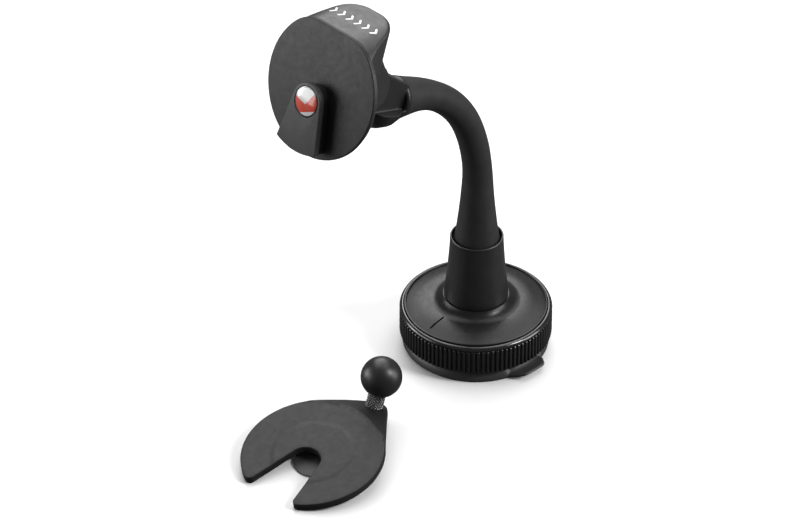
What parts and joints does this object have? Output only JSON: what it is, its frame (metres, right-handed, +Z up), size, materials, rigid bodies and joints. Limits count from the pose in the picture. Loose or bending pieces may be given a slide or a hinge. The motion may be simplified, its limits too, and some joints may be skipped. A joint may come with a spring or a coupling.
{
  "type": "suction mount for a portable navigator",
  "caption": "Windscreen suction mount with a twist-lock base, curved arm and tilting round head, and a loose keyhole docking plate with a ball stud.",
  "frame": {"origin": "on the base's axis, in the plane of the suction cup's sealing face", "axes": "+Z up along the base's axis; the arm leans and the head faces towards -Y; +X is along the head's tilt axis"},
  "size_m": [0.0754, 0.1654, 0.1899],
  "materials": {
    "cup_rubber": "soft, slightly shiny",
    "frame_plastic": "moulded",
    "screw_steel": "zinc plated",
    "ring_plastic": "glossy, ribbed",
    "stem_plastic": "natural acetal",
    "cover_plastic": "satin, fine spark texture",
    "collar_plastic": "satin",
    "bush_plastic": "natural acetal",
    "arm_skin": "soft touch, satin",
    "arm_plastic": "glass filled",
    "knuckle_plastic": "satin",
    "face_plastic": "fine spark texture",
    "housing_plastic": "satin",
    "badge_dome": "domed resin, red and white",
    "nut_brass": "machined",
    "washer_nylon": "natural nylon",
    "plate_plastic": "fine spark texture",
    "catch_steel": "black coated",
    "stud_steel": "black coated, knurled",
    "ball_rubber": "satin"
  },
  "bodies": {
    "base": {"base_frame": "frame_plastic", "suction_cup": "cup_rubber", "base_screws": "screw_steel", "base_cover": "cover_plastic", "arm_collar": "collar_plastic", "swivel_bush": "bush_plastic"},
    "lock_ring": {"lock_ring": "ring_plastic"},
    "lift_stem": {"lift_stem": "stem_plastic", "cam_pin": "screw_steel"},
    "arm": {"arm_core": "arm_plastic", "arm_sleeve": "arm_skin", "swivel_washer": "screw_steel", "swivel_screw": "screw_steel", "tilt_knuckle": "knuckle_plastic"},
    "head": {"head_housing": "housing_plastic", "face_plate": "face_plastic", "badge": "badge_dome", "head_screws": "screw_steel", "tilt_screw": "screw_steel", "tilt_nut": "nut_brass", "tilt_washers": "washer_nylon"},
    "dock": {"dock_plate": "plate_plastic", "catch_plate": "catch_steel", "catch_screws": "screw_steel", "ball_stud": "stud_steel", "ball_cover": "ball_rubber", "stud_nut": "stud_steel"}
  },
  "joints": [
    {"name": "ring_turn", "type": "hinge", "parent": "base", "child": "lock_ring", "pos_m": [0, 0, 0.0105], "axis": [0, 0, -1], "range_deg": [0, 90]},
    {"name": "stem_lift", "type": "slide", "parent": "base", "child": "lift_stem", "axis": [0, 0, 1], "range_m": [0, 0.0024], "deforming": ["suction_cup"]},
    {"name": "arm_swivel", "type": "hinge", "parent": "base", "child": "arm", "pos_m": [0, 0, 0.0486], "axis": [0, 0, 1], "range_deg": [-90, 90]},
    {"name": "head_tilt", "type": "hinge", "parent": "arm", "child": "head", "pos_m": [0, -0.06796, 0.1618], "axis": [1, 0, 0], "range_deg": [-20, 20]},
    {"name": "dock_lift", "type": "slide", "parent": "base", "child": "dock", "axis": [0, 0, 1], "range_m": [0, 0.06]}
  ],
  "couplings": [
    {"joint": "ring_turn", "follows": "stem_lift", "rad_per_m": 654.5}
  ]
}
